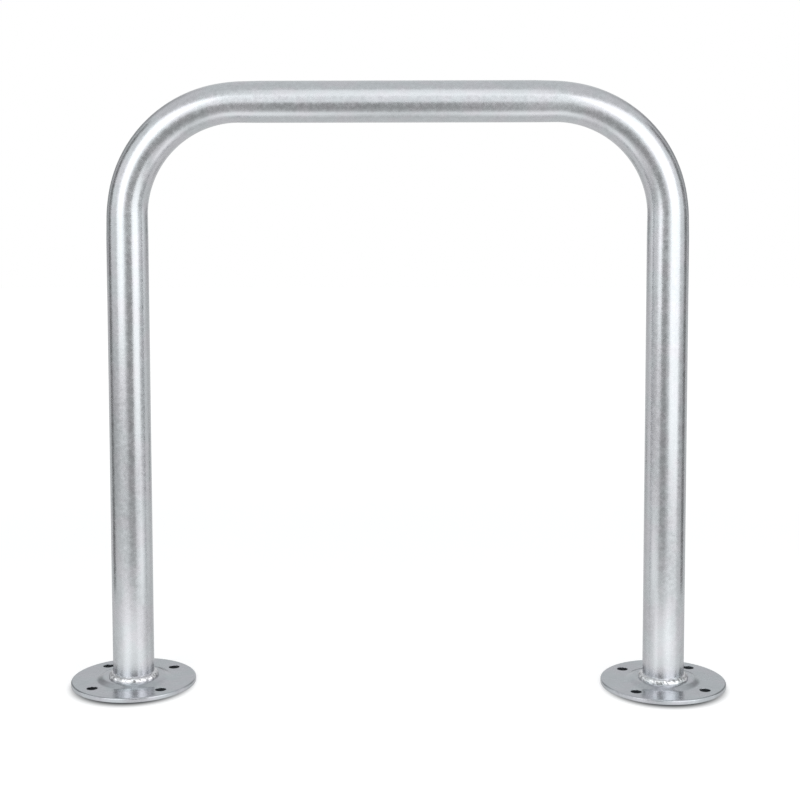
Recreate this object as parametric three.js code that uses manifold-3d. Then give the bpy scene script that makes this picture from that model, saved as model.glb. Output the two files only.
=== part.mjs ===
// Hoop bike rack: one bent steel tube on two pressed round flanges, welded and then galvanised.
// Millimetres. +X runs across the hoop, +Z is up, and the origin is on the ground midway
// between the legs.

import * as THREE from 'three';
import { mergeVertices } from 'three/addons/utils/BufferGeometryUtils.js';
import Module from 'manifold-3d';

const wasm = await Module();
wasm.setup();

// Hoop tube
const TUBE_DIAMETER = 50;
const TUBE_WALL = 3;
const LEG_SPACING = 650; // between the centres of the two legs
const HOOP_HEIGHT = 735; // from the ground to the crown of the top bar
const BEND_RADIUS = 136.5; // to the centre of the tube
const TUBE_END_LIFT = 0.8; // the cut ends stay this far above the ground

// Pressed flanges
const FLANGE_DIAMETER = 152;
const PLATE_THICKNESS = 5.5;
const SHOULDER_RISE = 3.5; // the pressed centre stands this far above the flat ring
const SHOULDER_TOP_DIAMETER = 70;
const SHOULDER_FOOT_DIAMETER = 94;
const RIM_TOP_ROUND = 2;
const RIM_BOTTOM_ROUND = 0.8;

// Bolt holes
const HOLE_DIAMETER = 13;
const HOLE_EDGE_DISTANCE = 17; // from a hole's centre to the flange's rim
const HOLE_COUNT = 4;
const LEFT_HOLE_ANGLE = THREE.MathUtils.degToRad(43);
const RIGHT_HOLE_ANGLE = THREE.MathUtils.degToRad(49);

// Welds
const BEAD_LEG = 5; // the fillet's width on the flange and height on the tube
const BEAD_BULGE = 0.8; // how far its face swells out past a straight fillet
const BEAD_RIPPLE_COUNT = 36;
const BEAD_RIPPLE_DEPTH = 0.5;
const ROOT_LEG = 2.2; // the seal weld in the recess underneath
const ROOT_BULGE = 0.3;

// Room between separate pieces, and how far a cutter runs past what it cuts
const FIT_GAP = 0.35;
const CUT_OVERRUN = 2;

// Fineness of the round surfaces
const TUBE_SIDES = 32;
const BEND_STEPS = 20;
const FLANGE_SIDES = 48;
const SHOULDER_STEPS = 6;
const ROUND_STEPS = 3;
const HOLE_SIDES = 24;
const BEAD_STEPS = 4;
const ROOT_SIDES = 48;

// Sizes that follow from the ones above
const TUBE_RADIUS = TUBE_DIAMETER / 2;
const SEAT_RADIUS = TUBE_RADIUS + FIT_GAP; // the bore and the inner wall of each weld
const FLANGE_RADIUS = FLANGE_DIAMETER / 2;
const HOLE_CIRCLE_RADIUS = FLANGE_RADIUS - HOLE_EDGE_DISTANCE;
const SHOULDER_TOP_HEIGHT = PLATE_THICKNESS + SHOULDER_RISE;
const LEG_X = LEG_SPACING / 2;
const BAR_Z = HOOP_HEIGHT - TUBE_RADIUS;
const HOOP_STEPS = 3 + 2 * BEND_STEPS; // three straights and two bends

const zincTube = new THREE.MeshStandardMaterial({ color: 0xbcbfc3, roughness: 0.36, metalness: 0.9 });
const zincPlate = new THREE.MeshStandardMaterial({ color: 0xb2b6b9, roughness: 0.42, metalness: 0.9 });
const zincWeld = new THREE.MeshStandardMaterial({ color: 0xd0d2d4, roughness: 0.3, metalness: 0.95 });

// The tube's centreline, from the left foot over the top to the right foot. Each straight is one
// step long and each bend is BEND_STEPS long, so that a section stands at every end of a bend.
class HoopPath extends THREE.Curve {
  getPoint(share, target = new THREE.Vector3()) {
    const step = share * HOOP_STEPS;
    const bendX = LEG_X - BEND_RADIUS;
    const bendZ = BAR_Z - BEND_RADIUS;
    if (step < 1) {
      return target.set(-LEG_X, 0, THREE.MathUtils.lerp(TUBE_END_LIFT, bendZ, step));
    }
    if (step < 1 + BEND_STEPS) {
      const angle = ((step - 1) / BEND_STEPS) * (Math.PI / 2);
      return target.set(-bendX - BEND_RADIUS * Math.cos(angle), 0, bendZ + BEND_RADIUS * Math.sin(angle));
    }
    if (step < 2 + BEND_STEPS) {
      return target.set(THREE.MathUtils.lerp(-bendX, bendX, step - 1 - BEND_STEPS), 0, BAR_Z);
    }
    if (step < 2 + 2 * BEND_STEPS) {
      const angle = ((step - 2 - BEND_STEPS) / BEND_STEPS) * (Math.PI / 2);
      return target.set(bendX + BEND_RADIUS * Math.sin(angle), 0, bendZ + BEND_RADIUS * Math.cos(angle));
    }
    return target.set(LEG_X, 0, THREE.MathUtils.lerp(bendZ, TUBE_END_LIFT, step - 2 - 2 * BEND_STEPS));
  }

  // Steps are spaced as getPoint counts them, not by length along the path.
  getUtoTmapping(share) {
    return share;
  }
}

function hoopTube() {
  const section = new THREE.Shape().absarc(0, 0, TUBE_RADIUS, 0, 2 * Math.PI);
  section.holes.push(new THREE.Path().absarc(0, 0, TUBE_RADIUS - TUBE_WALL, 0, 2 * Math.PI));
  const geometry = new THREE.ExtrudeGeometry(section, {
    extrudePath: new HoopPath(),
    steps: HOOP_STEPS,
    curveSegments: TUBE_SIDES / 2,
    bevelEnabled: false,
  });
  return closed(geometry);
}

// Points on the S-shaped slope of the pressed shoulder, as a half wave of a cosine.
function shoulder(topRadius, topHeight, footRadius, footHeight) {
  const points = [];
  for (let i = 0; i <= SHOULDER_STEPS; i += 1) {
    const share = i / SHOULDER_STEPS;
    const fall = (1 - Math.cos(Math.PI * share)) / 2;
    points.push(
      new THREE.Vector2(
        THREE.MathUtils.lerp(topRadius, footRadius, share),
        THREE.MathUtils.lerp(topHeight, footHeight, fall),
      ),
    );
  }
  return points;
}

// Points on a round edge, from one angle to another about its centre.
function round(centreX, centreY, radius, from, to) {
  const points = [];
  for (let i = 0; i <= ROUND_STEPS; i += 1) {
    const angle = THREE.MathUtils.lerp(from, to, i / ROUND_STEPS);
    points.push(new THREE.Vector2(centreX + radius * Math.cos(angle), centreY + radius * Math.sin(angle)));
  }
  return points;
}

// The flange's half section. The plate keeps its thickness through the shoulder, so the slope
// underneath lies a little nearer to the tube than the one on top.
function flangeProfile() {
  const topRadius = SHOULDER_TOP_DIAMETER / 2;
  const footRadius = SHOULDER_FOOT_DIAMETER / 2;
  const slope = Math.atan2(SHOULDER_RISE, footRadius - topRadius);
  const shift = PLATE_THICKNESS * Math.tan(slope / 2);
  return [
    new THREE.Vector2(SEAT_RADIUS, SHOULDER_RISE),
    ...shoulder(topRadius - shift, SHOULDER_RISE, footRadius - shift, 0),
    ...round(FLANGE_RADIUS - RIM_BOTTOM_ROUND, RIM_BOTTOM_ROUND, RIM_BOTTOM_ROUND, -Math.PI / 2, 0),
    ...round(FLANGE_RADIUS - RIM_TOP_ROUND, PLATE_THICKNESS - RIM_TOP_ROUND, RIM_TOP_ROUND, 0, Math.PI / 2),
    ...shoulder(topRadius, SHOULDER_TOP_HEIGHT, footRadius, PLATE_THICKNESS).reverse(),
    new THREE.Vector2(SEAT_RADIUS, SHOULDER_TOP_HEIGHT),
  ];
}

// A fillet weld's half section round the tube: its root corner, the toe on the plate, and the
// swelling face that climbs to the tube.
function filletProfile(leg, bulge, height, up) {
  const points = [new THREE.Vector2(SEAT_RADIUS, height)];
  for (let i = 0; i <= BEAD_STEPS; i += 1) {
    const share = i / BEAD_STEPS;
    const swell = bulge * Math.sin(Math.PI * share) * Math.SQRT1_2;
    const across = leg * (1 - share) + swell;
    const along = leg * share + swell;
    points.push(new THREE.Vector2(SEAT_RADIUS + across, height + up * along));
  }
  return up > 0 ? points : points.reverse();
}

// A closed half section turned about the vertical axis.
function turned(profile, sides) {
  const geometry = new THREE.LatheGeometry([...profile, profile[0].clone()], sides);
  geometry.rotateX(Math.PI / 2);
  return closed(geometry);
}

// The same mesh with its shared points merged, so that its surface is closed.
function closed(geometry) {
  geometry.deleteAttribute('normal');
  geometry.deleteAttribute('uv');
  return mergeVertices(geometry);
}

function toSolid(geometry) {
  return new wasm.Manifold(
    new wasm.Mesh({
      numProp: 3,
      vertProperties: new Float32Array(geometry.attributes.position.array),
      triVerts: new Uint32Array(geometry.index.array),
    }),
  );
}

function fromSolid(solid) {
  const mesh = solid.getMesh();
  const geometry = new THREE.BufferGeometry();
  geometry.setAttribute('position', new THREE.BufferAttribute(mesh.vertProperties, 3));
  geometry.setIndex(new THREE.BufferAttribute(mesh.triVerts, 1));
  return geometry;
}

function flange(firstHoleAngle) {
  let solid = toSolid(turned(flangeProfile(), FLANGE_SIDES));
  const depth = SHOULDER_TOP_HEIGHT + 2 * CUT_OVERRUN;
  for (let i = 0; i < HOLE_COUNT; i += 1) {
    const angle = firstHoleAngle + (i / HOLE_COUNT) * 2 * Math.PI;
    const cutter = new THREE.CylinderGeometry(HOLE_DIAMETER / 2, HOLE_DIAMETER / 2, depth, HOLE_SIDES);
    cutter.rotateX(Math.PI / 2);
    cutter.translate(
      HOLE_CIRCLE_RADIUS * Math.cos(angle),
      HOLE_CIRCLE_RADIUS * Math.sin(angle),
      SHOULDER_TOP_HEIGHT / 2,
    );
    solid = solid.subtract(toSolid(closed(cutter)));
  }
  return fromSolid(solid);
}

// The bead on top of the flange. Every second section is drawn in towards the root corner, which
// leaves one ripple for each dab of the electrode.
function weldBead() {
  const profile = filletProfile(BEAD_LEG, BEAD_BULGE, SHOULDER_TOP_HEIGHT, 1);
  const geometry = turned(profile, 2 * BEAD_RIPPLE_COUNT);
  const position = geometry.attributes.position;
  const drawnIn = 1 - BEAD_RIPPLE_DEPTH / BEAD_LEG;
  for (let i = 0; i < position.count; i += 1) {
    const x = position.getX(i);
    const y = position.getY(i);
    const section = Math.round((Math.atan2(y, x) / Math.PI) * BEAD_RIPPLE_COUNT);
    if (section % 2 !== 0) {
      const radius = Math.hypot(x, y);
      const stretch = THREE.MathUtils.lerp(SEAT_RADIUS, radius, drawnIn) / radius;
      const height = THREE.MathUtils.lerp(SHOULDER_TOP_HEIGHT, position.getZ(i), drawnIn);
      position.setXYZ(i, x * stretch, y * stretch, height);
    }
  }
  return geometry;
}

function rootWeld() {
  return turned(filletProfile(ROOT_LEG, ROOT_BULGE, SHOULDER_RISE, -1), ROOT_SIDES);
}

function named(name, geometry, material) {
  const mesh = new THREE.Mesh(geometry, material.clone());
  mesh.name = name;
  return mesh;
}

// One foot: the flange, the bead on top of it and the seal weld under it, round one leg.
function foot(side, x, firstHoleAngle) {
  const group = new THREE.Group();
  group.add(named(`${side}_flange`, flange(firstHoleAngle), zincPlate));
  group.add(named(`${side}_weld_bead`, weldBead(), zincWeld));
  group.add(named(`${side}_root_weld`, rootWeld(), zincWeld));
  group.position.x = x;
  return group;
}

const rack = new THREE.Group();
rack.add(named('hoop_tube', hoopTube(), zincTube));
rack.add(foot('left', -LEG_X, LEFT_HOLE_ANGLE));
rack.add(foot('right', LEG_X, RIGHT_HOLE_ANGLE));

export default rack;
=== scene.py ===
"""Hoop bike rack: a bent galvanised tube welded to two round pressed flanges, in a plain pale studio."""

import math

import bmesh
import bpy
import numpy as np
from bpy.props import FloatProperty, FloatVectorProperty, IntProperty, PointerProperty
from mathutils import Matrix, Vector


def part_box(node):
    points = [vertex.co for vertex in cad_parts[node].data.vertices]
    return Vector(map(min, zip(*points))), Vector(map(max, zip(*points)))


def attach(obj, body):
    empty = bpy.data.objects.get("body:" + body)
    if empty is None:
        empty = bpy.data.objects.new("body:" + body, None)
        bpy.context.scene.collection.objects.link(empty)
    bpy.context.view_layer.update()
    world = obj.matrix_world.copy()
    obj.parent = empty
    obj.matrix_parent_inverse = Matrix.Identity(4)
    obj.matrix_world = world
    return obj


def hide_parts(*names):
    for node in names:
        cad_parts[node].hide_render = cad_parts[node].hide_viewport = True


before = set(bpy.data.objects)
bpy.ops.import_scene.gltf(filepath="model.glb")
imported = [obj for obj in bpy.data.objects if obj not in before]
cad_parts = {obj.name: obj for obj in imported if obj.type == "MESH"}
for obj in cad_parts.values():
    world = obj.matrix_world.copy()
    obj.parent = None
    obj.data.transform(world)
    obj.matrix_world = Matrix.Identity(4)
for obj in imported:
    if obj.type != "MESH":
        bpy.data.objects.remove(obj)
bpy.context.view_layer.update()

bl_info = {
    "name": "Hoop bike rack",
    "version": (1, 0, 0),
    "blender": (4, 5, 0),
    "location": "3D View > Sidebar > Hoop rack",
    "description": "Builds a galvanised hoop bike rack on two bolt-down flanges",
    "category": "Add Mesh",
}

SIDES = ("left", "right")

# The frame's own sizes, in metres, which the settings start from
TUBE_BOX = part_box("hoop_tube")
PLATE_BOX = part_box("left_flange")
TUBE_DIAMETER = TUBE_BOX[1].y - TUBE_BOX[0].y
LEG_SPACING = TUBE_BOX[1].x - TUBE_BOX[0].x - TUBE_DIAMETER
PLATE_DIAMETER = PLATE_BOX[1].y - PLATE_BOX[0].y

# Fineness of the surfaces: rows, columns and steps of their grids
TUBE_COLUMNS = 96
LEG_STEPS = 20
BEND_STEPS = 56
BAR_STEPS = 16
PLATE_COLUMNS = 144
WEDGE_COLUMNS = 16
SPOKE_STEPS = 6
RAY_SHARES = (0.04, 0.35, 0.7, 1)
SHOULDER_STEPS = 28
ROUND_STEPS = 6
RIPPLE_SAMPLES = 14
BEAD_ROWS = 26
SEAL_COLUMNS = 144
MERGE_DISTANCE = 1e-6

# Flange: margins beside its rounded edges, as shares of their radii
HOLE_MARGIN = 0.4
RIM_MARGIN = 1.5
SUPPORT_MARGIN = 0.25

# Welds: heights of single ripples, the ripple's form, and uneven waves as (waves, least and most turns)
RIPPLE_HEIGHTS = (0.55, 1.25)
RIPPLE_LEAN = 0.7
RIPPLE_FULLNESS = 0.8
RIPPLE_DRIFT = 0.35
DRIFT_WAVES = (6, 2, 12)
BEAD_WAVES = (8, 3, 26)
SEAL_WAVES = (8, 3, 20)

# Zinc: features to a metre
GRAIN_SCALE = 255
CLOUD_SCALE = 130
WIDE_SCALE = 26
TINT_SCALE = 38
STREAK_SCALE = 300
# Along the tube a streak's place counts this much, which draws it out
STREAK_SHORTENING = 0.03
# Where its noises begin and end to show
NOISE_SPAN = (0.3, 0.7)
TINT_SPAN = (0.40, 0.62)
# Its cool and warm patches, as shares of its colour
COOL_SHARES = (0.985, 1.005, 1.002)
WARM_SHARES = (1.012, 0.995, 1.004)
# How strongly grain, clouds and streaks show: in tone, in roughness, and as height in metres
GRAIN_TONE = 0.04
CLOUD_TONE = 0.035
WIDE_TONE = 0.02
STREAK_TONE = 0.015
GRAIN_ROUGHNESS = 0.03
CLOUD_ROUGHNESS = 0.035
GRAIN_HEIGHT = 0.000033
CLOUD_HEIGHT = 0.000068
STREAK_HEIGHT = 0.00004

# Studio: levels of light are radiances, where 1 renders as white
SOFT_BOX_TARGET = (0, 0, 0.5)
LEFT_BOX_SIZE = (1.01, 1.50)
LEFT_BOX_LEVEL = 0.78
RIGHT_BOX_SIZE = (1.07, 1.80)
RIGHT_BOX_LEVEL = 0.75
TOP_BOX_SIZE = (0.68, 0.90)
TOP_BOX_LEVEL = 0.40
# Grey flags, seen only in reflections and glowing at a set level in place of being lit: one beside each
# leg, a low one behind each, and one in front
SIDE_FLAG_PLACE = (0.62, 0.062, 0.50)
SIDE_FLAG_SIZE = (0.132, 0.92)
SIDE_FLAG_LEVEL = 0.17
FRONT_FLAG_PLACE = (-0.055, -0.80, 0.305)
FRONT_FLAG_SIZE = (0.54, 0.61)
FRONT_FLAG_LEVEL = 0.31
REAR_FLAG_PLACE = (0.46, 0.9, 0.06)
REAR_FLAG_SIZE = (0.24, 0.12)
REAR_FLAG_LEVEL = 0.12
# The room: its tint, its level as plain light, and the ceiling in reflections, with where it comes in
ROOM_TINT = (0.975, 0.99, 1.0)
SOFT_LEVEL = 0.6
CEILING_LEVEL = 0.63
CEILING_STARTS = (0.35, 0.85)
# A direction less level than this counts as straight up or down
LEAST_LEVEL_SHARE = 0.001
# Wall levels in reflections, by how far a direction points to the back: 0 front, 0.5 both sides, 1 back
WALL_LEVELS = (
    (0.0, 0.86),
    (0.04, 0.84),
    (0.1, 0.75),
    (0.33, 0.80),
    (0.50, 0.84),
    (0.60, 1.06),
    (0.68, 0.87),
    (0.75, 0.57),
    (0.88, 0.28),
    (0.93, 0.28),
    (0.98, 0.66),
    (1.0, 0.68),
)
# Painted shade on the floor runs from inside a flange's rim to outside it, and lies a little to the front
RIM_PAINTED_SHADE_IN = 0.017
RIM_PAINTED_SHADE_OUT = 0.005
RIM_PAINTED_SHADE_FORWARD = 0.015
# The same painted shade in reflections, where it lies evenly all round
RIM_MIRROR_PAINTED_SHADE_IN = 0.0085
RIM_MIRROR_PAINTED_SHADE_OUT = 0.004
# The floor to the camera: its half width, where it turns white, its own glow, and the colour of its painted
# shade
FLOOR_HALF = 6
WHITE_STARTS = (0.7, 1.5)
FLOOR_GLOW = 0.485
PAINTED_SHADE_COLOUR = (0.05, 0.055, 0.06)
# The floor in reflections glows with painted light: levels from front to back, and what the part farther
# forward adds to them
FLOOR_TURN = (-0.2, 0.3)
FLOOR_LEVELS = (0.25, 0.50)
APRON_TURN = (-0.9, -0.5)
APRON_LEVELS = (0.12, 0.0)
# Its painted pools of light: level, place aside and to the back, and widths
PAINTED_LIGHT_POOLS = (
    (0.73, (0.29, -0.24), (0.30, 0.23)),
    (0.25, (0.92, -0.33), (0.34, 0.42)),
)
# Its faint polish, in reflections alone
FLOOR_POLISH = 0.2
FLOOR_POLISH_ROUGHNESS = 0.25


def length(name, description, default):
    """A setting that is a length in metres."""
    return FloatProperty(
        name=name,
        description=description,
        default=default,
        min=0,
        precision=4,
        subtype="DISTANCE",
        unit="LENGTH",
    )


def turn(name, description, degrees):
    """A setting that is an angle, given here in degrees."""
    return FloatProperty(
        name=name, description=description, default=math.radians(degrees), subtype="ANGLE", unit="ROTATION"
    )


def share(name, description, default):
    """A setting between nothing and one."""
    return FloatProperty(
        name=name, description=description, default=default, min=0, max=1, subtype="FACTOR"
    )


def colour(name, description, default):
    """A setting that is a linear colour."""
    return FloatVectorProperty(
        name=name, description=description, default=default, min=0, max=1, size=3, subtype="COLOR"
    )


def place(name, description, default):
    """A setting that is a place in metres."""
    return FloatVectorProperty(
        name=name,
        description=description,
        default=default,
        size=3,
        precision=4,
        subtype="XYZ",
        unit="LENGTH",
    )


class TubeSettings(bpy.types.PropertyGroup):
    """Sizes of the bent tube"""

    diameter: length("Tube diameter", "Outside of the tube", TUBE_DIAMETER)
    wall: length("Wall", "Thickness of the tube's wall", 0.003)
    leg_spacing: length("Leg spacing", "Between the centres of the two legs", LEG_SPACING)
    height: length("Height", "From the ground to the crown of the top bar", TUBE_BOX[1].z)
    bend_radius: length("Bend radius", "To the centre of the tube", 0.1365)
    end_lift: length("End lift", "Height of the cut ends above the ground", TUBE_BOX[0].z)
    end_chamfer: length("End chamfer", "Bevel on the cut ends", 0.0004)
    outer_flat: length("Outer flattening", "How far the outside of a bend is drawn in", 0.0012)
    inner_flat: length("Inner flattening", "How far the inside of a bend is pressed in", 0.0004)
    flat_ramp: length("Flattening ramp", "Length over which the flattening comes and goes", 0.045)


class FlangeSettings(bpy.types.PropertyGroup):
    """Sizes of the two pressed flanges"""

    diameter: length("Flange diameter", "Across the rim", PLATE_DIAMETER)
    thickness: length("Plate thickness", "Of the flat ring", 0.0055)
    seat_gap: length("Seat gap", "Room between the tube and the plate's bore", 0.00035)
    shoulder_rise: length("Shoulder rise", "Height of the pressed centre above the flat ring", 0.0035)
    shoulder_top: length("Shoulder top", "Diameter where the slope begins", 0.070)
    shoulder_foot: length("Shoulder foot", "Diameter where the slope ends", 0.094)
    rim_top_round: length("Upper rim round", "Radius of the rim's upper edge", 0.002)
    rim_bottom_round: length("Lower rim round", "Radius of the rim's lower edge", 0.0008)
    hole_diameter: length("Hole diameter", "Of each bolt hole", 0.013)
    hole_edge: length("Hole edge distance", "From a hole's centre to the rim", 0.017)
    hole_round: length("Hole edge round", "Radius of the zinc on the hole's edges", 0.0006)
    hole_count: IntProperty(name="Holes", description="Bolt holes in each flange", default=4, min=1, max=8)
    left_turn: turn("Left hole angle", "Of the left flange's first hole", 43)
    right_turn: turn("Right hole angle", "Of the right flange's first hole", 49)


class WeldSettings(bpy.types.PropertyGroup):
    """Sizes of the welds on top and underneath"""

    leg: length("Bead leg", "Width of the bead on the plate and its height on the tube", 0.005)
    bulge: length("Bead bulge", "How far its face swells past a straight fillet", 0.0013)
    ripple_depth: length("Ripple depth", "Height of one ripple", 0.0006)
    ripples: IntProperty(name="Ripples", description="Ripples round the tube", default=30, min=8, max=80)
    ripple_sweep: share("Ripple sweep", "How far the middle of a ripple runs ahead of its ends", 0.55)
    toe_wander: length("Toe wander", "How unevenly the bead's edges run", 0.0004)
    sink: length("Sink", "Depth of the bead's edges in the tube and the plate", 0.0006)
    seal_leg: length("Seal weld leg", "Width of the weld in the recess underneath", 0.0022)
    seal_bulge: length("Seal weld bulge", "How far the seal weld's face swells", 0.0003)
    seed: IntProperty(name="Seed", description="Draws the uneven ripples", default=7, min=0)


class FinishSettings(bpy.types.PropertyGroup):
    """Colour and roughness of the zinc on each kind of piece"""

    tube_colour: colour("Tube zinc", "Colour of the zinc on the tube", (0.725, 0.74, 0.765))
    plate_colour: colour("Plate zinc", "Colour of the zinc on the flanges", (0.58, 0.60, 0.63))
    weld_colour: colour("Weld zinc", "Colour of the zinc on the welds", (0.82, 0.83, 0.845))
    tube_roughness: share("Tube roughness", "Mean roughness of the tube", 0.26)
    plate_roughness: share("Plate roughness", "Mean roughness of the flanges", 0.23)
    weld_roughness: share("Weld roughness", "Mean roughness of the welds", 0.22)


class StageSettings(bpy.types.PropertyGroup):
    """The camera, the floor and the soft boxes"""

    camera_place: place("Camera", "Where the camera stands", (0.0320, -1.8500, 0.6360))
    camera_yaw: turn("Camera yaw", "Turn to the right of straight ahead", -0.88)
    camera_pitch: turn("Camera pitch", "Tilt below the horizon", 4.32)
    camera_roll: turn("Camera roll", "Lean about the line of sight", -0.09)
    lens: FloatProperty(name="Lens", description="Focal length", default=69.30, subtype="DISTANCE_CAMERA")
    shift: FloatProperty(name="Shift", description="Upward shift of the picture", default=-0.15)
    floor_colour: colour("Floor", "Colour of the floor", (0.80, 0.80, 0.80))
    left_panel: place("Left panel", "Centre of the left soft box", (-0.945, -1.205, 0.91))
    right_panel: place("Right panel", "Centre of the right soft box", (0.83, -0.86, 0.65))
    top_panel: place("Top panel", "Centre of the overhead soft box", (0.0, -0.95, 1.70))


class HoopRackSettings(bpy.types.PropertyGroup):
    """All the rack's settings"""

    tube: PointerProperty(type=TubeSettings)
    flange: PointerProperty(type=FlangeSettings)
    weld: PointerProperty(type=WeldSettings)
    finish: PointerProperty(type=FinishSettings)
    stage: PointerProperty(type=StageSettings)


# Meshes


def grid_faces(rows, columns, close_rows, close_columns=True):
    """Corners of the faces on a grid: face (i, j) joins points j and j + 1 of row i to those of row i + 1.

    Where the rows or the columns close, the last one joins the first.
    """
    row = np.arange(rows if close_rows else rows - 1)[:, None]
    column = np.arange(columns if close_columns else columns - 1)[None, :]
    next_row = (row + 1) % rows
    next_column = (column + 1) % columns
    corners = (
        row * columns + column,
        row * columns + next_column,
        next_row * columns + next_column,
        next_row * columns + column,
    )
    return np.stack(np.broadcast_arrays(*corners), axis=-1).reshape(-1, 4)


def placed(name, data):
    """A new object that holds the data, in the scene."""
    made = bpy.data.objects.new(name, data)
    bpy.context.scene.collection.objects.link(made)
    return made


def piece(name, patches, material, slot, *nodes):
    """One object from (points, faces) patches, merged where they meet, with its faces turned outwards."""
    mesh = bpy.data.meshes.new(name)
    starts = np.cumsum([0] + [len(points) for points, _ in patches[:-1]])
    points = np.concatenate([points for points, _ in patches])
    faces = np.concatenate([faces + start for (_, faces), start in zip(patches, starts)])
    mesh.from_pydata(points.tolist(), [], faces.tolist())
    shell = bmesh.new()
    shell.from_mesh(mesh)
    if len(patches) > 1:
        bmesh.ops.remove_doubles(shell, verts=shell.verts, dist=MERGE_DISTANCE)
    bmesh.ops.recalc_face_normals(shell, faces=shell.faces)
    shell.to_mesh(mesh)
    shell.free()
    mesh.shade_smooth()
    mesh.materials.append(material)
    made = placed(name, mesh)
    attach(made, "root")
    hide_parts(*nodes)
    return made


def leg_centre(side, tube):
    """X of one leg's centre."""
    return tube.leg_spacing / 2 * (-1 if side == "left" else 1)


def eased(values, low, high):
    """Rises from 0 at low to 1 at high as 3t^2 - 2t^3, level at both ends."""
    t = np.clip((values - low) / (high - low), 0, 1)
    return t * t * (3 - 2 * t)


def between(values, start, end, ramp):
    """1 between start and end and 0 outside them, eased within ramp of either."""
    return eased(values, start - ramp, start + ramp) - eased(values, end - ramp, end + ramp)


def hoop_surface(tube):
    """The tube's whole skin, outside and bore, as one closed grid.

    Along the centreline, at distance s from the left end, the hoop has turned by
    t = clip((s - leg) / bend radius) + clip((s - leg - quarter - bar) / bend radius), each part held
    between 0 and a quarter turn. The way to the outside of the bend is (-cos t, 0, sin t), and the
    centreline is the bend's own centre, carried along the bar and down the legs, plus the bend radius
    that way. A point at angle a round the tube stands at radius * (cos a, sin a) on that way and +Y.
    In the bends the radius is less by flattening * cos(a)^2, outside and inside each with its own
    amount, eased in and out. Returns points, faces and each point's place on the straight stock tube.
    """
    radius = tube.diameter / 2
    bore = radius - tube.wall
    bend_x = tube.leg_spacing / 2 - tube.bend_radius
    bend_z = tube.height - radius - tube.bend_radius
    leg = bend_z - tube.end_lift
    quarter_turn = math.pi / 2
    quarter = tube.bend_radius * quarter_turn
    bar = 2 * bend_x
    total = 2 * leg + 2 * quarter + bar

    edge = tube.end_chamfer
    stops = np.cumsum([0, leg, quarter, bar, quarter, leg])
    steps = (LEG_STEPS, BEND_STEPS, BAR_STEPS, BEND_STEPS, LEG_STEPS)
    parts = [np.linspace(a, b, n, endpoint=False) for a, b, n in zip(stops, stops[1:], steps)]
    inside = np.concatenate(parts)[1:]
    outer_s = np.concatenate([[edge, 2 * edge], inside, [total - 2 * edge, total - edge]])
    outer_r = np.full(len(outer_s), radius)
    bore_r = np.full(len(outer_s), bore)
    cut = np.array([radius - edge, bore + edge])
    s = np.concatenate([outer_s, [total, total], outer_s[::-1], [0, 0]])
    r = np.concatenate([outer_r, cut, bore_r, cut[::-1]])

    turned = np.clip((s - leg) / tube.bend_radius, 0, quarter_turn)
    turned += np.clip((s - leg - quarter - bar) / tube.bend_radius, 0, quarter_turn)
    out = np.stack([-np.cos(turned), np.zeros_like(s), np.sin(turned)], axis=-1)
    along_bar = -bend_x + np.clip(s - leg - quarter, 0, bar)
    below_bend = np.maximum(leg - s, 0) + np.maximum(s - (total - leg), 0)
    centre = np.stack([along_bar, np.zeros_like(s), bend_z - below_bend], axis=-1) + tube.bend_radius * out

    ramp = tube.flat_ramp / 2
    in_bend = between(s, leg, leg + quarter, ramp) + between(total - s, leg, leg + quarter, ramp)

    angle = np.linspace(0, 2 * math.pi, TUBE_COLUMNS, endpoint=False)
    cos, sin = np.cos(angle), np.sin(angle)
    flat = tube.outer_flat * np.maximum(cos, 0) ** 2 + tube.inner_flat * np.maximum(-cos, 0) ** 2
    reach = r[:, None] - in_bend[:, None] * flat[None, :]
    points = centre[:, None, :] + (reach * cos)[..., None] * out[:, None, :]
    points[..., 1] += reach * sin
    along = np.broadcast_to(s[:, None], reach.shape)
    stock = np.stack([r[:, None] * cos, r[:, None] * sin, along], axis=-1)
    faces = grid_faces(len(s), TUBE_COLUMNS, close_rows=True)
    return points.reshape(-1, 3), faces, stock.reshape(-1, 3)


def turned_patch(profile, angles, whole=True):
    """A half section of (radius, height) points carried round the vertical axis, whole or in part."""
    radius, height = np.array(profile).T
    points = np.stack(
        [
            radius[:, None] * np.cos(angles),
            radius[:, None] * np.sin(angles),
            np.broadcast_to(height[:, None], (len(radius), len(angles))),
        ],
        axis=-1,
    )
    faces = grid_faces(len(radius), len(angles), close_rows=False, close_columns=whole)
    return points.reshape(-1, 3), faces


def slope(top_radius, top_height, foot_radius, foot_height):
    """Points down the pressed shoulder: the height falls with the radius as half a cosine wave."""
    t = np.linspace(0, 1, SHOULDER_STEPS + 1)
    fall = (1 - np.cos(math.pi * t)) / 2
    radius = top_radius + (foot_radius - top_radius) * t
    return np.stack([radius, top_height + (foot_height - top_height) * fall], axis=-1)


def rounded(centre_radius, centre_height, radius, start, end):
    """Points on a quarter circle of the half section, between two angles about its centre."""
    t = np.linspace(start, end, ROUND_STEPS + 1)
    return np.stack([centre_radius + radius * np.cos(t), centre_height + radius * np.sin(t)], axis=-1)


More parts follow.
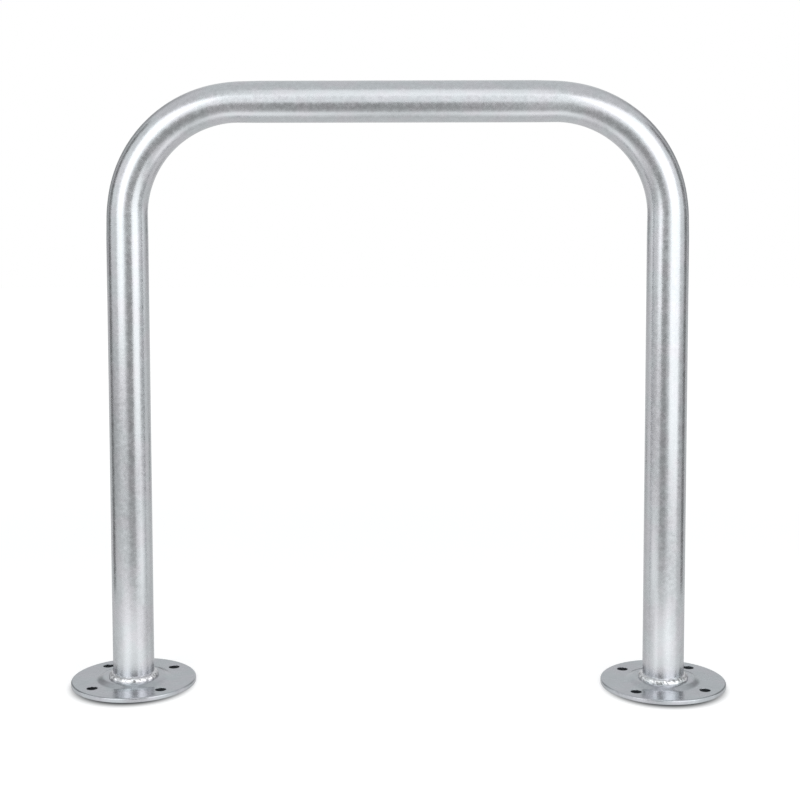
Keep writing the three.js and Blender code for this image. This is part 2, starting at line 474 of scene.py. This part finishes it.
def flange_patches(flange, tube, first_hole):
    """The pressed plate as a turned centre, a turned rim, and a patch round each bolt hole.

    The centre and the rim are half sections turned about the leg. Between them lies the flat ring. It is
    plain between the holes, and round each hole it is a net of straight rays from the hole's edge to a
    wedge cut by two radial lines, on the top and on the underside, joined down the hole's wall.
    """
    seat = tube.diameter / 2 + flange.seat_gap
    rim = flange.diameter / 2
    thick = flange.thickness
    rise = flange.shoulder_rise
    top = thick + rise
    top_radius, foot_radius = flange.shoulder_top / 2, flange.shoulder_foot / 2
    shift = thick * math.tan(math.atan2(rise, foot_radius - top_radius) / 2)
    upper, lower = flange.rim_top_round, flange.rim_bottom_round
    ring_in = foot_radius + HOLE_MARGIN * flange.hole_round + lower
    ring_out = rim - RIM_MARGIN * upper
    support = SUPPORT_MARGIN * lower

    centre = np.concatenate(
        [
            [[ring_in, thick]],
            slope(top_radius, top, foot_radius, thick)[::-1],
            [[seat + support, top], [seat, top - support], [seat, rise + support], [seat + support, rise]],
            slope(top_radius - shift, rise, foot_radius - shift, 0),
            [[ring_in, 0]],
        ]
    )
    edge = np.concatenate(
        [
            [[ring_out, 0], [rim - lower - support, 0]],
            rounded(rim - lower, lower, lower, -math.pi / 2, 0),
            [[rim, lower + support], [rim, thick - upper - support]],
            rounded(rim - upper, thick - upper, upper, 0, math.pi / 2),
            [[rim - upper - support, thick], [ring_out, thick]],
        ]
    )
    per_hole = PLATE_COLUMNS // flange.hole_count
    step = 2 * math.pi / (per_hole * flange.hole_count)
    start = first_hole - WEDGE_COLUMNS / 2 * step
    angles = start + np.arange(per_hole * flange.hole_count) * step
    patches = [turned_patch(centre, angles), turned_patch(edge, angles)]

    # Rows of the net: distance from the hole's centre, share of the way to the outline, height
    hole = flange.hole_diameter / 2
    soft = flange.hole_round
    lip = rounded(0, 0, soft, 0, math.pi / 2)
    upper_lip = [(hole + soft - x, 0, thick - soft + z) for x, z in lip]
    lower_lip = [(hole + soft - x, 0, soft - z) for x, z in lip[::-1]]
    rows = [(hole + soft, t, 0) for t in RAY_SHARES[::-1]] + lower_lip
    rows += upper_lip + [(hole + soft, t, thick) for t in RAY_SHARES]
    reach, way, height = np.array(rows).T

    spokes = np.linspace(ring_out, ring_in, SPOKE_STEPS + 1)
    outline_radius = np.concatenate(
        [np.full(WEDGE_COLUMNS, ring_out), spokes[:-1], np.full(WEDGE_COLUMNS, ring_in), spokes[:0:-1]]
    )
    for k in range(flange.hole_count):
        arc = start + (k * per_hole + np.arange(per_hole + 1)) * step
        wedge, plain = arc[: WEDGE_COLUMNS + 1], arc[WEDGE_COLUMNS:]
        outline_angle = np.concatenate(
            [wedge[:-1], np.full(SPOKE_STEPS, wedge[-1]), wedge[:0:-1], np.full(SPOKE_STEPS, wedge[0])]
        )
        outward = np.stack([np.cos(outline_angle), np.sin(outline_angle)], axis=-1)
        outline = outline_radius[:, None] * outward
        middle = first_hole + k * 2 * math.pi / flange.hole_count
        hole_centre = (rim - flange.hole_edge) * np.array([math.cos(middle), math.sin(middle)])
        ray = outline - hole_centre
        ray /= np.linalg.norm(ray, axis=-1, keepdims=True)
        near = hole_centre + reach[:, None, None] * ray[None]
        flat = near + way[:, None, None] * (outline[None] - near)
        heights = np.broadcast_to(height[:, None, None], flat[..., :1].shape)
        points = np.concatenate([flat, heights], axis=-1)
        patches.append((points.reshape(-1, 3), grid_faces(len(rows), len(outline), close_rows=False)))
        for level in (0, thick):
            ring = np.stack([spokes, np.full_like(spokes, level)], axis=-1)
            patches.append(turned_patch(ring, plain, whole=False))
    return patches


def uneven(angles, rng, waves, low, high):
    """A smooth uneven wave round the circle, within about one either way.

    It is a sum of sines, each with a whole number of turns between low and high, over the root of their
    number.
    """
    turns = rng.integers(low, high, waves)
    phase = rng.uniform(0, 2 * math.pi, waves)
    return np.sin(angles[:, None] * turns + phase).sum(axis=-1) / math.sqrt(waves)


def ripple_relief(weld, angles, rng):
    """Heights of the ripples over the bead's face, in metres about its mean.

    They lie like overlapping coins. With p a point's share of its own ripple, a ripple rises as
    sin(pi p^lean)^fullness, times a height drawn for it. The middle of the face runs ahead by
    sweep * sin(pi t), and the ripples' spacing drifts round the tube.
    """
    heights = rng.uniform(*RIPPLE_HEIGHTS, weld.ripples)
    drift = RIPPLE_DRIFT * uneven(angles, rng, *DRIFT_WAVES)
    t = np.linspace(0, 1, BEAD_ROWS)
    sweep = weld.ripple_sweep * np.sin(math.pi * t)[:, None]
    phase = angles[None, :] * weld.ripples / (2 * math.pi) + drift[None, :] + sweep
    step = np.floor(phase)
    rise = np.sin(math.pi * (phase - step) ** RIPPLE_LEAN) ** RIPPLE_FULLNESS
    return weld.ripple_depth * (heights[step.astype(int) % weld.ripples] * rise - 0.5)


def fillet_patch(inner, leg, bulge, sink, base, up, angles, relief, wander):
    """A fillet weld round the leg as one closed grid.

    It lies on the height of base, above it where up is 1 and below it where up is -1. Across the face, t
    runs from the toe on the plate to the toe on the tube: the face is the straight line between them plus
    (bulge + relief) * sin(pi t) square to it. wander moves the two toes. The rest of the section runs back
    inside the tube and the plate, at the depth of sink.
    """
    t = np.linspace(0, 1, BEAD_ROWS)
    swell = np.sin(math.pi * t)[:, None] * (bulge + relief) * math.sqrt(0.5)
    across = leg * (1 - t)[:, None] + wander[0][None, :] * (1 - t)[:, None] + swell
    along = leg * t[:, None] + wander[1][None, :] * t[:, None] + swell
    hidden_across = np.array([-sink, -sink, leg])
    hidden_along = np.array([leg, -sink, -sink])
    wide = np.ones_like(angles)
    across = np.concatenate([across, hidden_across[:, None] * wide])
    along = np.concatenate([along, hidden_along[:, None] * wide])
    radius = inner + across
    points = np.stack([radius * np.cos(angles), radius * np.sin(angles), base + up * along], axis=-1)
    return points.reshape(-1, 3), grid_faces(len(radius), len(angles), close_rows=True)


# Materials


class Nodes:
    """A node tree with short calls to add a node and to join sockets."""

    def __init__(self, tree):
        self.tree = tree
        tree.nodes.clear()

    def add(self, kind, links=None, **values):
        """Adds a node, sets its attributes or inputs by name, and links its inputs by name or number."""
        node = self.tree.nodes.new(kind)
        for key, value in values.items():
            if hasattr(node, key):
                setattr(node, key, value)
            else:
                node.inputs[key.replace("_", " ")].default_value = value
        for key, socket in (links or {}).items():
            self.tree.links.new(socket, node.inputs[key])
        return node

    def math(self, operation, first, second=None, third=None):
        """A Math node on sockets or plain numbers."""
        node = self.tree.nodes.new("ShaderNodeMath")
        node.operation = operation
        for index, value in enumerate((first, second, third)):
            if isinstance(value, bpy.types.NodeSocket):
                self.tree.links.new(value, node.inputs[index])
            elif value is not None:
                node.inputs[index].default_value = value
        return node.outputs[0]

    def spread(self, value, low, high, to_low, to_high, smooth=False):
        """Carries a value from one range to another, held at both ends."""
        node = self.add("ShaderNodeMapRange", {"Value": value})
        node.interpolation_type = "SMOOTHSTEP" if smooth else "LINEAR"
        for key, number in (("From Min", low), ("From Max", high), ("To Min", to_low), ("To Max", to_high)):
            node.inputs[key].default_value = number
        return node.outputs[0]

    def distance(self, x, y):
        """The root of x^2 + y^2."""
        return self.math("SQRT", self.math("MULTIPLY_ADD", x, x, self.math("MULTIPLY", y, y)))

    def noise(self, vector, scale, detail=2, rough=0.5):
        """A noise of about one feature in 1 / scale metres."""
        values = {"Scale": scale, "Detail": detail, "Roughness": rough}
        return self.add("ShaderNodeTexNoise", {"Vector": vector}, **values).outputs["Fac"]

    def swing(self, noise):
        """A noise carried to between minus one and one."""
        return self.spread(noise, *NOISE_SPAN, -1, 1)

    def tinted(self, base, factor):
        """A colour multiplied by a grey value."""
        grey = self.add("ShaderNodeCombineColor", {0: factor, 1: factor, 2: factor})
        links = {6: base, 7: grey.outputs[0]}
        node = self.add("ShaderNodeMix", links, data_type="RGBA", blend_type="MULTIPLY")
        node.inputs[0].default_value = 1
        return node.outputs[2]

    def blend(self, share, first, second):
        """The first shader where share is 0 and the second where it is 1."""
        return self.add("ShaderNodeMixShader", {0: share, 1: first, 2: second}).outputs[0]

    def mirrored(self, path):
        """1 where a reflection or a refraction looks and 0 elsewhere, from a Light Path node."""
        return self.math("MAXIMUM", path.outputs["Is Glossy Ray"], path.outputs["Is Transmission Ray"])


def new_material(name):
    """A material and the short calls for its still empty node tree."""
    material = bpy.data.materials.new(name)
    material.use_nodes = True
    return material, Nodes(material.node_tree)


def zinc(name, base, roughness, grain, cloud, drawn=0):
    """Hot-dip zinc: a fine pale grain, soft clouds and faint warm and cool patches.

    They show in tone, gloss and bump. grain and cloud say how strong the fine grain and the wider clouds
    are. drawn adds faint lines along the stock tube, read from the piece's own stock attribute.
    """
    material, nodes = new_material(name)
    here = nodes.add("ShaderNodeTexCoord").outputs["Object"]
    fine = nodes.noise(here, GRAIN_SCALE, detail=1)
    soft = nodes.noise(here, CLOUD_SCALE, detail=3, rough=0.55)
    wide = nodes.noise(here, WIDE_SCALE)
    tint = nodes.noise(here, TINT_SCALE, detail=1)

    warm = nodes.spread(tint, *TINT_SPAN, 0, 1, smooth=True)
    patches = nodes.add("ShaderNodeMix", {0: warm}, data_type="RGBA")
    for socket, shares in ((6, COOL_SHARES), (7, WARM_SHARES)):
        patches.inputs[socket].default_value = (*np.multiply(tuple(base), shares), 1)
    fine_swing = nodes.swing(fine)
    soft_swing = nodes.swing(soft)
    tone = nodes.math("MULTIPLY_ADD", fine_swing, GRAIN_TONE * grain, 1)
    tone = nodes.math("MULTIPLY_ADD", soft_swing, CLOUD_TONE * cloud, tone)
    tone = nodes.math("MULTIPLY_ADD", nodes.swing(wide), WIDE_TONE * cloud, tone)
    gloss = nodes.math("MULTIPLY_ADD", soft_swing, CLOUD_ROUGHNESS * cloud, roughness)
    gloss = nodes.math("MULTIPLY_ADD", fine_swing, GRAIN_ROUGHNESS * grain, gloss)
    height = nodes.math("MULTIPLY", fine, GRAIN_HEIGHT * grain)
    height = nodes.math("MULTIPLY_ADD", soft, CLOUD_HEIGHT * cloud, height)
    if drawn:
        stock = nodes.add("ShaderNodeAttribute", attribute_name="stock").outputs["Vector"]
        lines = nodes.add("ShaderNodeMapping", {"Vector": stock}, Scale=(1, 1, STREAK_SHORTENING))
        streak = nodes.noise(lines.outputs[0], STREAK_SCALE)
        height = nodes.math("MULTIPLY_ADD", streak, STREAK_HEIGHT * drawn, height)
        tone = nodes.math("MULTIPLY_ADD", nodes.swing(streak), STREAK_TONE * drawn, tone)
    bump = nodes.add("ShaderNodeBump", {"Height": height}, Distance=1, Strength=1)
    shade = nodes.tinted(patches.outputs[2], tone)
    links = {"Base Color": shade, "Roughness": gloss, "Normal": bump.outputs[0]}
    shader = nodes.add("ShaderNodeBsdfPrincipled", links, Metallic=1)
    nodes.add("ShaderNodeOutputMaterial", {"Surface": shader.outputs[0]})
    return material


# Pieces


class HOOPRACK_OT_bend_tube(bpy.types.Operator):
    """Makes the bent tube, from cut end to cut end"""

    bl_idname = "hoop_rack.bend_tube"
    bl_label = "Bend the tube"

    def execute(self, context):
        rack = context.scene.hoop_rack
        finish = rack.finish
        points, faces, stock = hoop_surface(rack.tube)
        material = zinc("tube zinc", finish.tube_colour, finish.tube_roughness, grain=1, cloud=1, drawn=1)
        made = piece("bent_tube", [(points, faces)], material, "zinc_tube", "hoop_tube")
        attribute = made.data.attributes.new("stock", "FLOAT_VECTOR", "POINT")
        attribute.data.foreach_set("vector", stock.astype(np.float32).ravel())
        return {"FINISHED"}


class HOOPRACK_OT_press_flanges(bpy.types.Operator):
    """Makes the two pressed flanges with their bolt holes"""

    bl_idname = "hoop_rack.press_flanges"
    bl_label = "Press the flanges"

    def execute(self, context):
        rack = context.scene.hoop_rack
        flange, finish = rack.flange, rack.finish
        material = zinc("plate zinc", finish.plate_colour, finish.plate_roughness, grain=0.8, cloud=1.3)
        for side in SIDES:
            first_hole = flange.left_turn if side == "left" else flange.right_turn
            patches = flange_patches(flange, rack.tube, first_hole)
            centre = np.array([leg_centre(side, rack.tube), 0, 0])
            patches = [(points + centre, faces) for points, faces in patches]
            piece(f"{side}_pressed_flange", patches, material, "zinc_plate", f"{side}_flange")
        return {"FINISHED"}


class HOOPRACK_OT_lay_beads(bpy.types.Operator):
    """Makes the rippled bead on top of each flange"""

    bl_idname = "hoop_rack.lay_beads"
    bl_label = "Lay the weld beads"

    def execute(self, context):
        rack = context.scene.hoop_rack
        tube, flange, weld, finish = rack.tube, rack.flange, rack.weld, rack.finish
        material = zinc("weld zinc", finish.weld_colour, finish.weld_roughness, grain=1.2, cloud=1.2)
        angles = np.linspace(0, 2 * math.pi, weld.ripples * RIPPLE_SAMPLES, endpoint=False)
        for number, side in enumerate(SIDES):
            rng = np.random.default_rng(weld.seed + number)
            relief = ripple_relief(weld, angles, rng)
            wander = [weld.toe_wander * uneven(angles, rng, *BEAD_WAVES) for _ in range(2)]
            points, faces = fillet_patch(
                inner=tube.diameter / 2,
                leg=weld.leg,
                bulge=weld.bulge,
                sink=weld.sink,
                base=flange.thickness + flange.shoulder_rise,
                up=1,
                angles=angles,
                relief=relief,
                wander=wander,
            )
            points += (leg_centre(side, tube), 0, 0)
            piece(f"{side}_fillet_weld", [(points, faces)], material, "zinc_weld", f"{side}_weld_bead")
        return {"FINISHED"}


class HOOPRACK_OT_seal_roots(bpy.types.Operator):
    """Makes the seal weld in the recess under each flange"""

    bl_idname = "hoop_rack.seal_roots"
    bl_label = "Seal the roots"

    def execute(self, context):
        rack = context.scene.hoop_rack
        tube, flange, weld, finish = rack.tube, rack.flange, rack.weld, rack.finish
        material = zinc("seal zinc", finish.weld_colour, finish.weld_roughness, grain=1, cloud=1)
        angles = np.linspace(0, 2 * math.pi, SEAL_COLUMNS, endpoint=False)
        for number, side in enumerate(SIDES):
            rng = np.random.default_rng(weld.seed + len(SIDES) + number)
            wander = [weld.toe_wander / 2 * uneven(angles, rng, *SEAL_WAVES) for _ in range(2)]
            points, faces = fillet_patch(
                inner=tube.diameter / 2,
                leg=weld.seal_leg,
                bulge=weld.seal_bulge,
                sink=weld.sink,
                base=flange.shoulder_rise,
                up=-1,
                angles=angles,
                relief=0,
                wander=wander,
            )
            points += (leg_centre(side, tube), 0, 0)
            piece(f"{side}_seal_weld", [(points, faces)], material, "zinc_weld", f"{side}_root_weld")
        return {"FINISHED"}


# Stage


def soft_box(name, centre, size, radiance):
    """A rectangular studio light that faces the rack. Its power is pi * area * radiance."""
    light = bpy.data.lights.new(name, "AREA")
    light.shape = "RECTANGLE"
    light.size, light.size_y = size
    light.energy = math.pi * size[0] * size[1] * radiance
    lamp = placed(name, light)
    lamp.location = centre
    lamp.rotation_euler = (Vector(SOFT_BOX_TARGET) - Vector(centre)).to_track_quat("-Z", "Y").to_euler()
    lamp.visible_camera = False


def room_level(nodes, x, y, z):
    """Brightness of the room in a direction, as its reflections show it.

    A ramp on how far the direction points to the back gives the walls, brightest just behind both
    sides. It is carried up to the ceiling's level with height.
    """
    flat = nodes.math("MAXIMUM", nodes.distance(x, y), LEAST_LEVEL_SHARE)
    back = nodes.math("DIVIDE", y, flat)
    ramp = nodes.add("ShaderNodeValToRGB", {0: nodes.math("MULTIPLY_ADD", back, 0.5, 0.5)})
    ramp.color_ramp.interpolation = "EASE"
    stops = ramp.color_ramp.elements
    for stop, (_, level) in zip(stops, (WALL_LEVELS[0], WALL_LEVELS[-1])):
        stop.color = (level, level, level, 1)
    for position, level in WALL_LEVELS[1:-1]:
        stops.new(position).color = (level, level, level, 1)
    high = nodes.spread(z, *CEILING_STARTS, 0, 1, smooth=True)
    level = nodes.add("ShaderNodeMix", {0: high, 2: ramp.outputs[0]})
    level.inputs[3].default_value = CEILING_LEVEL
    return level.outputs[0]


def grey_flag(name, centre, size, turned, level):
    """An upright card that only shows in reflections, facing the side or, turned, the front, and glows at
    level in place of being lit.
    """
    material, nodes = new_material(name)
    # Painted light: the card glows at a set grey level rather than being lit
    glow = nodes.add("ShaderNodeEmission", Strength=level)
    nodes.add("ShaderNodeOutputMaterial", {"Surface": glow.outputs[0]})
    width, height = size
    x, y = (width / 2, 0) if turned else (0, width / 2)
    corners = [(-x, -y, -height / 2), (x, y, -height / 2), (x, y, height / 2), (-x, -y, height / 2)]
    mesh = bpy.data.meshes.new(name)
    mesh.from_pydata([tuple(Vector(corner) + Vector(centre)) for corner in corners], [], [(0, 1, 2, 3)])
    mesh.materials.append(material)
    card = placed(name, mesh)
    card.visible_camera = False
    card.visible_diffuse = False
    card.visible_shadow = False


def studio_world():
    """Plain soft light on the pieces' own colours, a studio in their reflections, white to the camera."""
    world = bpy.data.worlds.new("pale room")
    world.use_nodes = True
    bpy.context.scene.world = world
    nodes = Nodes(world.node_tree)
    way = nodes.add("ShaderNodeSeparateXYZ", {0: nodes.add("ShaderNodeTexCoord").outputs["Generated"]})
    path = nodes.add("ShaderNodeLightPath")
    level = nodes.add("ShaderNodeMix", {0: nodes.mirrored(path), 3: room_level(nodes, *way.outputs)})
    level.inputs[2].default_value = SOFT_LEVEL
    room = nodes.add("ShaderNodeBackground", {"Strength": level.outputs[0]}, Color=(*ROOM_TINT, 1))
    white = nodes.add("ShaderNodeBackground", Color=(1, 1, 1, 1))
    shown = nodes.blend(path.outputs["Is Camera Ray"], room.outputs[0], white.outputs[0])
    nodes.add("ShaderNodeOutputWorld", {"Surface": shown})


def floor_material(stage, tube, flange):
    """A pale floor that turns white away from the rack, with painted shade towards and under the flanges'
    rims.

    In reflections it glows with painted light: paler behind the rack, dimmer before it, and a little
    brighter again farther forward. Each of the PAINTED_LIGHT_POOLS adds a painted pool of light on both
    sides, level * e^-(((|x| - its x) / its width)^2 + ((y - its y) / its depth)^2). A faint polish lies
    over it all.
    """
    material, nodes = new_material("pale floor")
    here = nodes.add("ShaderNodeSeparateXYZ", {0: nodes.add("ShaderNodeTexCoord").outputs["Object"]})
    x, y, _ = here.outputs
    aside = nodes.math("ABSOLUTE", x)
    past_leg = nodes.math("SUBTRACT", aside, tube.leg_spacing / 2)
    from_rack = nodes.distance(nodes.math("MAXIMUM", past_leg, 0), y)
    from_leg = nodes.distance(past_leg, y)
    # Painted shade: to the camera the floor darkens towards and under each flange's rim, a little to the
    # front; in reflections it darkens evenly all round
    from_painted_shade = nodes.distance(past_leg, nodes.math("ADD", y, RIM_PAINTED_SHADE_FORWARD))
    rim = flange.diameter / 2
    clear_of_painted_shade = nodes.spread(from_painted_shade, rim - RIM_PAINTED_SHADE_IN, rim + RIM_PAINTED_SHADE_OUT, 0, 1, smooth=True)
    mirror_clear_of_painted_shade = nodes.spread(from_leg, rim - RIM_MIRROR_PAINTED_SHADE_IN, rim + RIM_MIRROR_PAINTED_SHADE_OUT, 0, 1, smooth=True)

    far = nodes.spread(from_rack, *WHITE_STARTS, 0, 1, smooth=True)
    glow = nodes.add("ShaderNodeEmission", {"Strength": nodes.spread(far, 0, 1, FLOOR_GLOW, 1)})
    cloth = nodes.add("ShaderNodeBsdfDiffuse", Color=(*stage.floor_colour, 1))
    # Dark diffuse: the colour of the painted shade, and the plain ground under the white glow far off
    dark = nodes.add("ShaderNodeBsdfDiffuse", Color=(*PAINTED_SHADE_COLOUR, 1))
    paper = nodes.blend(far, cloth.outputs[0], dark.outputs[0])
    seen = nodes.add("ShaderNodeAddShader", {0: paper, 1: glow.outputs[0]})

    # Painted light in reflections: the floor glows dimmer in front, paler behind, and in painted pools of
    # light beside the legs
    apron = nodes.spread(y, *APRON_TURN, *APRON_LEVELS, smooth=True)
    level = nodes.math("ADD", apron, nodes.spread(y, *FLOOR_TURN, *FLOOR_LEVELS, smooth=True))
    for peak, centres, widths in PAINTED_LIGHT_POOLS:
        square = 0
        for value, centre, width in zip((aside, y), centres, widths):
            steps = nodes.math("MULTIPLY_ADD", value, 1 / width, -centre / width)
            square = nodes.math("MULTIPLY_ADD", steps, steps, square)
        painted_light_pool = nodes.math("EXPONENT", nodes.math("MULTIPLY", square, -1))
        level = nodes.math("MULTIPLY_ADD", painted_light_pool, peak, level)
    bright = nodes.add("ShaderNodeEmission", {"Strength": level})
    grey = (FLOOR_POLISH, FLOOR_POLISH, FLOOR_POLISH, 1)
    polish = nodes.add("ShaderNodeBsdfAnisotropic", Color=grey, Roughness=FLOOR_POLISH_ROUGHNESS)
    shine = nodes.add("ShaderNodeAddShader", {0: bright.outputs[0], 1: polish.outputs[0]})
    mirrored = nodes.mirrored(nodes.add("ShaderNodeLightPath"))
    both = nodes.blend(mirrored, seen.outputs[0], shine.outputs[0])
    # Where these painted shade masks fall to nought, the floor turns to its dark painted shade colour
    open_share = nodes.add("ShaderNodeMix", {0: mirrored, 2: clear_of_painted_shade, 3: mirror_clear_of_painted_shade})
    shaded = nodes.blend(open_share.outputs[0], dark.outputs[0], both)
    nodes.add("ShaderNodeOutputMaterial", {"Surface": shaded})
    return material


class HOOPRACK_OT_set_stage(bpy.types.Operator):
    """Makes the floor, the studio lights, the room and the camera"""

    bl_idname = "hoop_rack.set_stage"
    bl_label = "Set the stage"

    def execute(self, context):
        rack = context.scene.hoop_rack
        stage = rack.stage
        mesh = bpy.data.meshes.new("floor")
        corners = [(x * FLOOR_HALF, y * FLOOR_HALF, 0) for x, y in ((-1, -1), (1, -1), (1, 1), (-1, 1))]
        mesh.from_pydata(corners, [], [(0, 1, 2, 3)])
        mesh.materials.append(floor_material(stage, rack.tube, rack.flange))
        floor = placed("floor", mesh)

        soft_box("left soft box", stage.left_panel, LEFT_BOX_SIZE, LEFT_BOX_LEVEL)
        soft_box("right soft box", stage.right_panel, RIGHT_BOX_SIZE, RIGHT_BOX_LEVEL)
        soft_box("overhead soft box", stage.top_panel, TOP_BOX_SIZE, TOP_BOX_LEVEL)
        for side, hand in (("left", -1), ("right", 1)):
            beside = (hand * SIDE_FLAG_PLACE[0], *SIDE_FLAG_PLACE[1:])
            grey_flag(f"{side} flag", beside, SIDE_FLAG_SIZE, False, SIDE_FLAG_LEVEL)
            behind = (hand * REAR_FLAG_PLACE[0], *REAR_FLAG_PLACE[1:])
            grey_flag(f"{side} rear flag", behind, REAR_FLAG_SIZE, True, REAR_FLAG_LEVEL)
        grey_flag("front flag", FRONT_FLAG_PLACE, FRONT_FLAG_SIZE, True, FRONT_FLAG_LEVEL)
        studio_world()

        camera = bpy.data.cameras.new("camera")
        camera.lens = stage.lens
        camera.shift_y = stage.shift
        viewer = placed("camera", camera)
        viewer.matrix_world = (
            Matrix.Translation(stage.camera_place)
            @ Matrix.Rotation(-stage.camera_yaw, 4, "Z")
            @ Matrix.Rotation(math.pi / 2 - stage.camera_pitch, 4, "X")
            @ Matrix.Rotation(stage.camera_roll, 4, "Z")
        )
        context.scene.camera = viewer
        context.scene.view_settings.view_transform = "Standard"
        return {"FINISHED"}


class HOOPRACK_PT_panel(bpy.types.Panel):
    """Lists the rack's pieces and settings"""

    bl_idname = "HOOPRACK_PT_panel"
    bl_label = "Hoop rack"
    bl_space_type = "VIEW_3D"
    bl_region_type = "UI"
    bl_category = "Hoop rack"

    def draw(self, context):
        rack = context.scene.hoop_rack
        for operator in OPERATORS:
            self.layout.operator(operator.bl_idname)
        for settings in (rack.tube, rack.flange, rack.weld, rack.finish, rack.stage):
            box = self.layout.box()
            for name in settings.__annotations__:
                box.prop(settings, name)


OPERATORS = (
    HOOPRACK_OT_set_stage,
    HOOPRACK_OT_bend_tube,
    HOOPRACK_OT_press_flanges,
    HOOPRACK_OT_lay_beads,
    HOOPRACK_OT_seal_roots,
)
CLASSES = (
    TubeSettings,
    FlangeSettings,
    WeldSettings,
    FinishSettings,
    StageSettings,
    HoopRackSettings,
    *OPERATORS,
    HOOPRACK_PT_panel,
)


def register():
    for cls in CLASSES:
        bpy.utils.register_class(cls)
    bpy.types.Scene.hoop_rack = PointerProperty(type=HoopRackSettings)


def unregister():
    del bpy.types.Scene.hoop_rack
    for cls in reversed(CLASSES):
        bpy.utils.unregister_class(cls)


def main():
    """Makes the stage and the rack."""
    register()
    bpy.ops.hoop_rack.set_stage()
    bpy.ops.hoop_rack.bend_tube()
    bpy.ops.hoop_rack.press_flanges()
    bpy.ops.hoop_rack.lay_beads()
    bpy.ops.hoop_rack.seal_roots()


if __name__ == "__main__":
    main()
